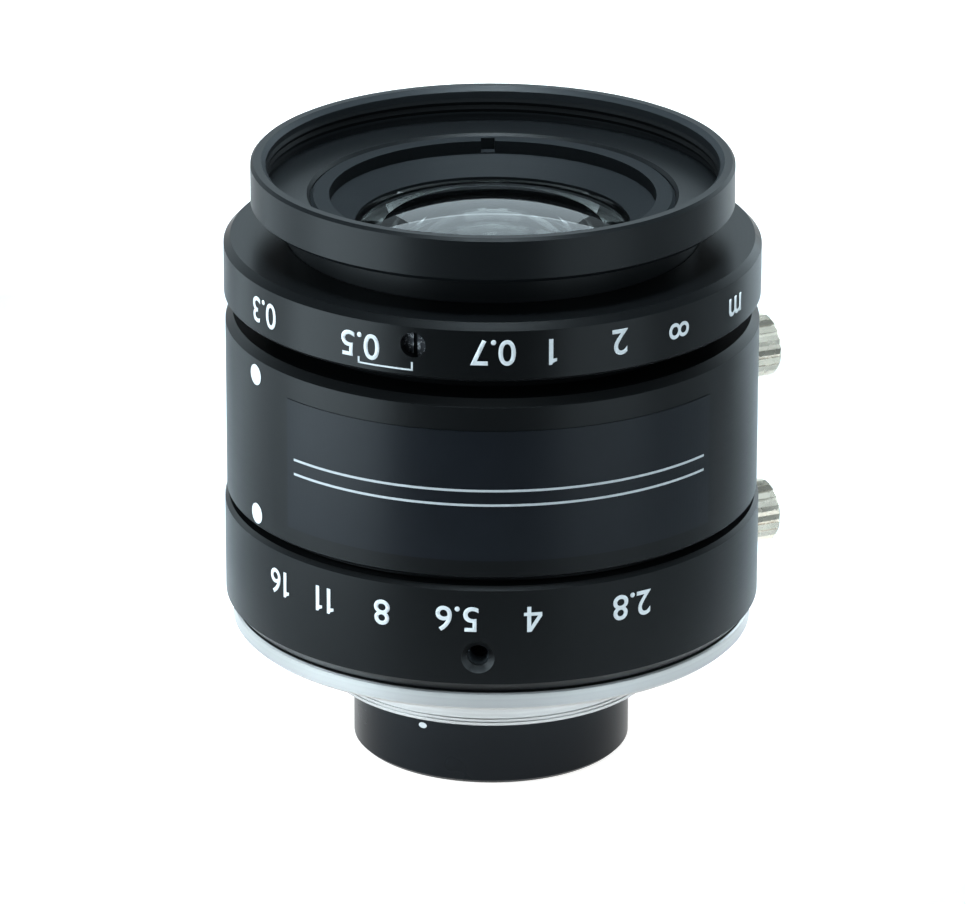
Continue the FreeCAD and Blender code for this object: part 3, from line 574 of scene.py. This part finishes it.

# Studio
# A flat white table, which glows a little round the foot of the lens, as painted light that washes out
# the lens's shadow there, and glows far behind it; soft lamps stand round and above the lens.
table_size, table_drop = 6.0, 0.0001
foot_reach, foot_fade = 0.06, 0.02
back_start, back_fade = 0.13, 0.05
bpy.ops.object.select_all(action="DESELECT")
bpy.ops.mesh.primitive_plane_add(size=table_size, location=(0, 0, -table_drop))
floor = bpy.context.object
floor.name = "studio_floor"
paper = Finish("white_paper", **{"Specular IOR Level": 0.2})
fibre = paper.noise(900.0, 3.0)
# Painted light: the table glows round the foot of the lens, over the shadow that the lamps cast there.
foot_shadow_glow = ((foot_reach - paper.radius) / foot_fade).maths("MAXIMUM", 0.0)
far = ((paper.y - back_start) / back_fade).maths("MAXIMUM", 0.0)
glow = paper.blend(foot_shadow_glow + far, (0, 0, 0, 1), (0.86, 0.84, 0.82, 1))
paper.paint(Base_Color=paper.blend(fibre, (0.43, 0.433, 0.438, 1), (0.44, 0.443, 0.448, 1)),
            Roughness=0.75 + fibre * 0.1, Emission_Strength=1.0, Emission_Color=glow)
floor.data.materials.append(paper.material)

world = bpy.data.worlds.new("studio_air")
bpy.context.scene.world = world
world.use_nodes = True
air = world.node_tree.nodes["Background"]
air.inputs["Color"].default_value = (0.79, 0.96, 1.05, 1)
air.inputs["Strength"].default_value = 0.3
bpy.context.scene.view_settings.view_transform = "Standard"


def lamp(name, place, target, width, height, power, spread=180.0):
    """A soft box that points at a spot. The camera doesn't see the box itself."""
    data = bpy.data.lights.new(name, "AREA")
    data.shape = "RECTANGLE"
    data.size, data.size_y = width, height
    data.energy = power
    data.color = (0.81, 0.98, 1.07)
    data.spread = math.radians(spread)
    box = bpy.data.objects.new(name, data)
    bpy.context.scene.collection.objects.link(box)
    box.location = place
    away = box.location - Vector(target)
    box.rotation_euler = away.to_track_quat("Z", "Y").to_euler()
    box.visible_camera = False


def strip(name, angle, far, width, power):
    """A low strip box that stands beside the lens and faces it."""
    turn = math.radians(angle)
    lamp(name, (far * math.sin(turn), -far * math.cos(turn), 0.04), (0, 0, 0.04), width, 0.08, power)


middle = (0, 0, 0.035)
lamp("grid_above", (0, 0.11, 0.45), (0, 0.11, 0), 0.14, 0.34, 0.5, 25.0)
lamp("front_above", (0, -0.35, 0.45), middle, 0.3, 0.2, 0.5)
lamp("back_above", (0, 0.30, 0.30), middle, 0.3, 0.2, 0.3)
lamp("back_card", (0, 0.5, 0.226), (0, 0, 0.057), 0.18, 0.127, 0.076)
lamp("left_back", (-0.16, 0.16, 0.10), (0, 0, 0.10), 0.12, 0.20, 0.05)
lamp("right_back", (0.16, 0.16, 0.10), (0, 0, 0.10), 0.12, 0.20, 0.15)
strip("left_front_strip", -62.0, 0.105, 0.085, 0.15)
strip("left_strip", -105.0, 0.105, 0.09, 0.035)
strip("right_front_strip", 43.0, 0.105, 0.07, 0.045)
strip("right_strip", 84.0, 0.105, 0.08, 0.012)
strip("right_back_strip", 130.0, 0.115, 0.05, 0.01)

# Camera
# A long lens 0.74 m away that looks down by 21 degrees, fitted to the outlines of the rings in the
# photograph.
camera_data = bpy.data.cameras.new("photo_camera")
camera_data.sensor_width = 36.0
camera_data.lens = 272.173
camera_data.clip_start, camera_data.clip_end = 0.05, 20.0
camera = bpy.data.objects.new("photo_camera", camera_data)
bpy.context.scene.collection.objects.link(camera)
camera.location = (-0.0000106, -0.687416, 0.295611)
camera.rotation_euler = (math.radians(68.902), math.radians(-0.146), math.radians(0.1308))
bpy.context.scene.camera = camera
